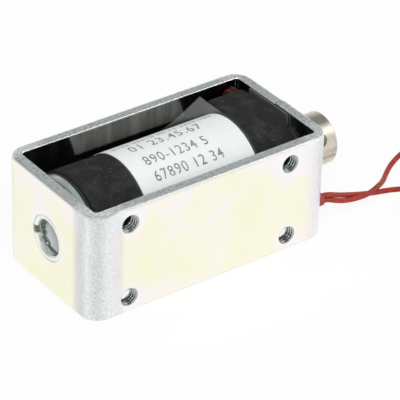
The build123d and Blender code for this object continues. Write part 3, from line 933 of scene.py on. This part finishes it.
class SOLENOID_OT_metals(Operator):
    """Finishes the frame, core, plunger and other metal solids"""

    bl_idname = "solenoid.metals"
    bl_label = "Metal finishes"

    def execute(self, context):
        settings = context.scene.solenoid_finish
        nickel = tuple(settings.nickel)
        give(zinc_finish(settings), "zinc_steel", "frame")
        give(turned_finish("nickel_plate", nickel, 0.25), "nickel_steel", "plunger")
        give(core_finish(), "plated_core", "fixed_core")
        give(turned_finish("ground_rod", (0.72, 0.73, 0.72), 0.18), "stainless_rod", "push_rod")
        disc = turned_finish("zinc_disc", (0.66, 0.75, 0.75), 0.30, grooves=4.0)
        give(disc, "zinc_disc", "core_washer", "front_flux_washer")
        give(plain_finish("bronze_bush", (0.52, 0.36, 0.20), 0.45, 1.0, 4.0), "bronze", "rod_guide_bush")
        give(plain_finish("brass_tube", (0.72, 0.57, 0.30), 0.30, 1.0, 1.0), "brass_tube", "guide_tube")
        solder = plain_finish("solder", (0.70, 0.70, 0.69), 0.30, 1.0, 3.0)
        give(solder, "solder_joint", "splice_a", "splice_b")
        strands = plain_finish("tinned_strands", (0.72, 0.71, 0.68), 0.32, 1.0, 5.0)
        give(strands, "solder_joint", "lead_a_tip", "lead_b_tip")
        copper = plain_finish("enamelled_copper", (0.62, 0.25, 0.10), 0.28, 1.0, 3.0)
        give(copper, "copper_wire", "winding", "magnet_wire_a", "magnet_wire_b")
        return {"FINISHED"}


class SOLENOID_OT_plastics(Operator):
    """Finishes the bobbin, insulators, sleeve, inner leads and ties"""

    bl_idname = "solenoid.plastics"
    bl_label = "Plastic finishes"

    def execute(self, context):
        colour = tuple(context.scene.solenoid_lead.colour)
        give(plain_finish("black_nylon", (0.018, 0.018, 0.018), 0.45), "black_nylon", "bobbin")
        give(plain_finish("film_wrap", (0.62, 0.48, 0.16), 0.25), "film_wrap", "insulation_wrap")
        fibre = plain_finish("fibre_board", (0.085, 0.087, 0.085), 0.62, 0.0, 3.0)
        give(fibre, "fibre_board", "end_insulator")
        give(plain_finish("stop_plastic", (0.75, 0.72, 0.62), 0.35), "clear_plastic", "stop_washer")
        give(plain_finish("red_sleeve", (0.30, 0.035, 0.045), 0.50, 0.0, 2.5), "red_sleeve", "lead_sleeve")
        # Painted shade: the inner leads' red is darkened to 0.17 of the lead colour, for leads that lie in
        # shadow inside the frame.
        painted_shade_lead_finish = insulation_finish("inner_lead_red_in_painted_shade", tuple(0.17 * c for c in colour), 0.75)
        give(painted_shade_lead_finish, "red_lead", "inner_lead_a", "inner_lead_b")
        give(plain_finish("tie_plastic", (0.80, 0.80, 0.77), 0.45), "tie_plastic", "lead_a_tie", "lead_b_tie")
        return {"FINISHED"}


class SOLENOID_OT_threads(Operator):
    """Cuts the thread turns inside the four fixing holes"""

    bl_idname = "solenoid.threads"
    bl_label = "Fixing threads"

    def execute(self, context):
        finish = plain_finish("thread_flanks", (0.40, 0.43, 0.43), 0.20, 1.0, 2.0)
        corners = [(side_x, side_z) for side_x in (-0.5, 0.5) for side_z in (-0.5, 0.5)]
        for n, (side_x, side_z) in enumerate(corners, start=1):
            x = FIXING_MIDDLE + side_x * FIXING_SPACING_X
            centre = Vector((x, 0, AXIS_HEIGHT + side_z * FIXING_SPACING_Z))
            mesh = self.thread(f"fixing_thread_{n}", centre)
            new_piece(f"fixing_thread_{n}", mesh, finish)
        return {"FINISHED"}

    def thread(self, name, centre):
        """A thread's ridges as a ring through the wall, from the major radius in to the minor."""
        outer_face = -WALL_SIDE + THREAD_INSET
        depth = STRIP_THICKNESS - 2 * THREAD_INSET
        around, along = 56, 60
        inner_face = outer_face + depth
        angles = [2 * math.pi * n / around for n in range(around)]
        rows = [[self.at(centre, THREAD_MAJOR, angle, outer_face) for angle in angles]]
        for m in range(along + 1):
            y = outer_face + depth * m / along
            mouth = min(1.0, 0.5 + min(m, along - m) / (along * 0.10))
            row = []
            for n, angle in enumerate(angles):
                phase = (y / THREAD_PITCH - n / around) % 1.0
                crest = min(1.0, 1.25 * (1 - abs(2 * phase - 1)))
                radius = THREAD_MAJOR - (THREAD_MAJOR - THREAD_MINOR) * crest * mouth - THREAD_CLEARANCE
                row.append(self.at(centre, radius, angle, y))
            rows.append(row)
        rows.append([self.at(centre, THREAD_MAJOR, angle, inner_face) for angle in angles])
        rows.append(rows[0])
        return finish_mesh(shell_mesh(name, rows, closed_round=True), math.radians(28))

    @staticmethod
    def at(centre, radius, angle, y):
        return Vector((centre.x + radius * math.cos(angle), y, centre.z + radius * math.sin(angle)))


def stage_finish(name, colour, glow_strength, shade_share):
    """A pale surface that the camera and reflections see nearly white, with the part's shadow kept."""
    finish = Finish(name, colour)
    kinds = ("Camera", "Glossy", "Transmission")
    camera, glossy, through = (finish.node("ShaderNodeLightPath", output=f"Is {kind} Ray") for kind in kinds)
    seen = camera.largest(glossy).largest(through)
    diffuse = finish.node("ShaderNodeBsdfDiffuse", None, {"Color": (*colour, 1)})
    glow = finish.node("ShaderNodeEmission", None, {"Strength": glow_strength})
    surface = finish.node("ShaderNodeMixShader", None, {0: (1 - shade_share) * seen, 1: diffuse, 2: glow})
    finish.tree.links.new(surface.socket, finish.tree.nodes["Material Output"].inputs["Surface"])
    finish.tree.nodes.remove(finish.shader)
    return finish


class SOLENOID_OT_stage(Operator):
    """Makes the pale floor, the soft lamps and the surroundings that the metal reflects"""

    bl_idname = "solenoid.stage"
    bl_label = "Stage"

    def execute(self, context):
        scene = context.scene
        reach = 8.0
        height = -0.02 * MM
        corners = [(reach * x, reach * y, height) for x, y in ((-1, -1), (1, -1), (1, 1), (-1, 1))]
        mesh = bpy.data.meshes.new("floor")
        mesh.from_pydata(corners, [], [(0, 1, 2, 3)])
        mesh.materials.append(stage_finish("pale_floor", (0.85, 0.85, 0.85), 1.0, 0.10).material)
        floor = bpy.data.objects.new("floor", mesh)
        scene.collection.objects.link(floor)
        self.lamp(scene, "key_softbox", (-0.55, -0.75, 0.95), 0.9, 11.0)
        self.lamp(scene, "fill_softbox", (0.95, -0.45, 0.70), 0.8, 4.5)
        self.lamp(scene, "top_softbox", (0.05, 0.35, 1.15), 0.5, 3.0)
        self.surroundings(scene)
        scene.view_settings.view_transform = "Standard"
        return {"FINISHED"}

    def lamp(self, scene, name, place, size, power):
        data = bpy.data.lights.new(name, "AREA")
        data.shape = "SQUARE"
        data.size = size
        data.energy = power
        lamp = bpy.data.objects.new(name, data)
        lamp.location = place
        aim = Vector((0, 0, AXIS_HEIGHT)) - Vector(place)
        lamp.rotation_euler = aim.to_track_quat("-Z", "Y").to_euler()
        scene.collection.objects.link(lamp)

    def surroundings(self, scene):
        """White low down and greyer overhead, as in a light tent with a dark ceiling."""
        world = bpy.data.worlds.new("surroundings")
        scene.world = world
        world.use_nodes = True
        nodes, links = world.node_tree.nodes, world.node_tree.links
        background = nodes["Background"]
        coordinates = nodes.new("ShaderNodeTexCoord")
        split = nodes.new("ShaderNodeSeparateXYZ")
        links.new(coordinates.outputs["Generated"], split.inputs[0])
        ramp = nodes.new("ShaderNodeValToRGB")
        Finish.set_stops(
            ramp.color_ramp,
            [
                (0.0, (1.0, 1.0, 1.0)),
                (0.20, (0.92, 0.92, 0.92)),
                (0.50, (0.40, 0.41, 0.42)),
                (0.80, (0.16, 0.16, 0.17)),
                (1.0, (0.30, 0.30, 0.30)),
            ],
        )
        links.new(split.outputs["Z"], ramp.inputs["Fac"])
        links.new(ramp.outputs["Color"], background.inputs["Color"])
        background.inputs["Strength"].default_value = 0.9


class SOLENOID_PT_panel(Panel):
    """Lists the pieces and their settings"""

    bl_idname = "SOLENOID_PT_panel"
    bl_label = "Box Frame Solenoid"
    bl_space_type = "VIEW_3D"
    bl_region_type = "UI"
    bl_category = "Solenoid"

    def draw(self, context):
        layout = self.layout
        for operator in OPERATORS:
            layout.operator(operator.bl_idname)
        for name in SETTINGS:
            group = getattr(context.scene, name)
            column = layout.column(align=True)
            for key in group.__annotations__:
                column.prop(group, key)


SETTINGS = {
    "solenoid_coil": CoilSettings,
    "solenoid_lead": LeadSettings,
    "solenoid_finish": FinishSettings,
    "solenoid_stage": StageSettings,
}
OPERATORS = [
    SOLENOID_OT_camera,
    SOLENOID_OT_leads,
    SOLENOID_OT_wrap,
    SOLENOID_OT_label,
    SOLENOID_OT_film,
    SOLENOID_OT_threads,
    SOLENOID_OT_metals,
    SOLENOID_OT_plastics,
    SOLENOID_OT_stage,
]
CLASSES = [*SETTINGS.values(), *OPERATORS, SOLENOID_PT_panel]


def register():
    for item in CLASSES:
        bpy.utils.register_class(item)
    for name, group in SETTINGS.items():
        setattr(bpy.types.Scene, name, PointerProperty(type=group))


def unregister():
    for name in SETTINGS:
        delattr(bpy.types.Scene, name)
    for item in reversed(CLASSES):
        bpy.utils.unregister_class(item)


def main():
    register()
    bpy.ops.solenoid.camera()
    bpy.ops.solenoid.leads()
    bpy.ops.solenoid.wrap()
    bpy.ops.solenoid.label()
    bpy.ops.solenoid.film()
    bpy.ops.solenoid.threads()
    bpy.ops.solenoid.metals()
    bpy.ops.solenoid.plastics()
    bpy.ops.solenoid.stage()


if __name__ == "__main__":
    main()
